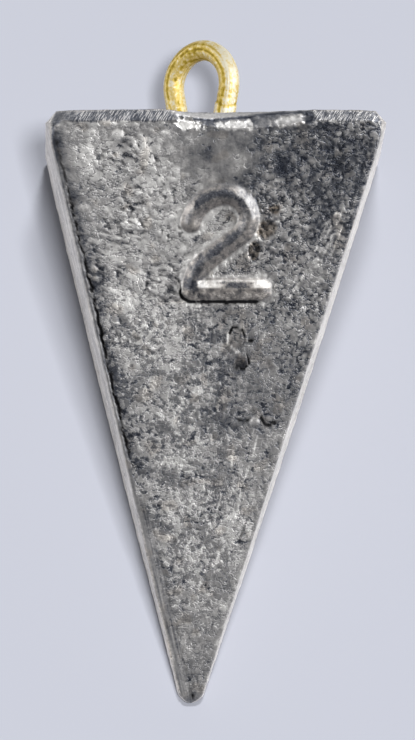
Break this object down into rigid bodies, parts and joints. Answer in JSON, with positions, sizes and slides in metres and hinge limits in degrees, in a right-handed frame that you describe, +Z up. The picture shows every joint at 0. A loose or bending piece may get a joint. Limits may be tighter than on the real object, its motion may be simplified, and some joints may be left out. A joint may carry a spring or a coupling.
{
  "type": "fishing sinker",
  "caption": "Pyramid fishing sinker: a four-sided lead casting with a blunt point, a raised weight number on one face and a brass wire eye cast into its square base.",
  "frame": {"origin": "on the resting surface, under the middle of the part's box, with the sinker lying on its plain back face", "axes": "+Y along the sinker from its point to its eye, +Z up out of the surface, +X to the right as the numbered face is read with the eye at the top"},
  "size_m": [0.02, 0.038, 0.0193],
  "materials": {
    "cast_lead": "satin",
    "brass_wire": "satin"
  },
  "bodies": {
    "root": {"lead_body": "cast_lead", "wire_eye": "brass_wire"}
  },
  "joints": []
}
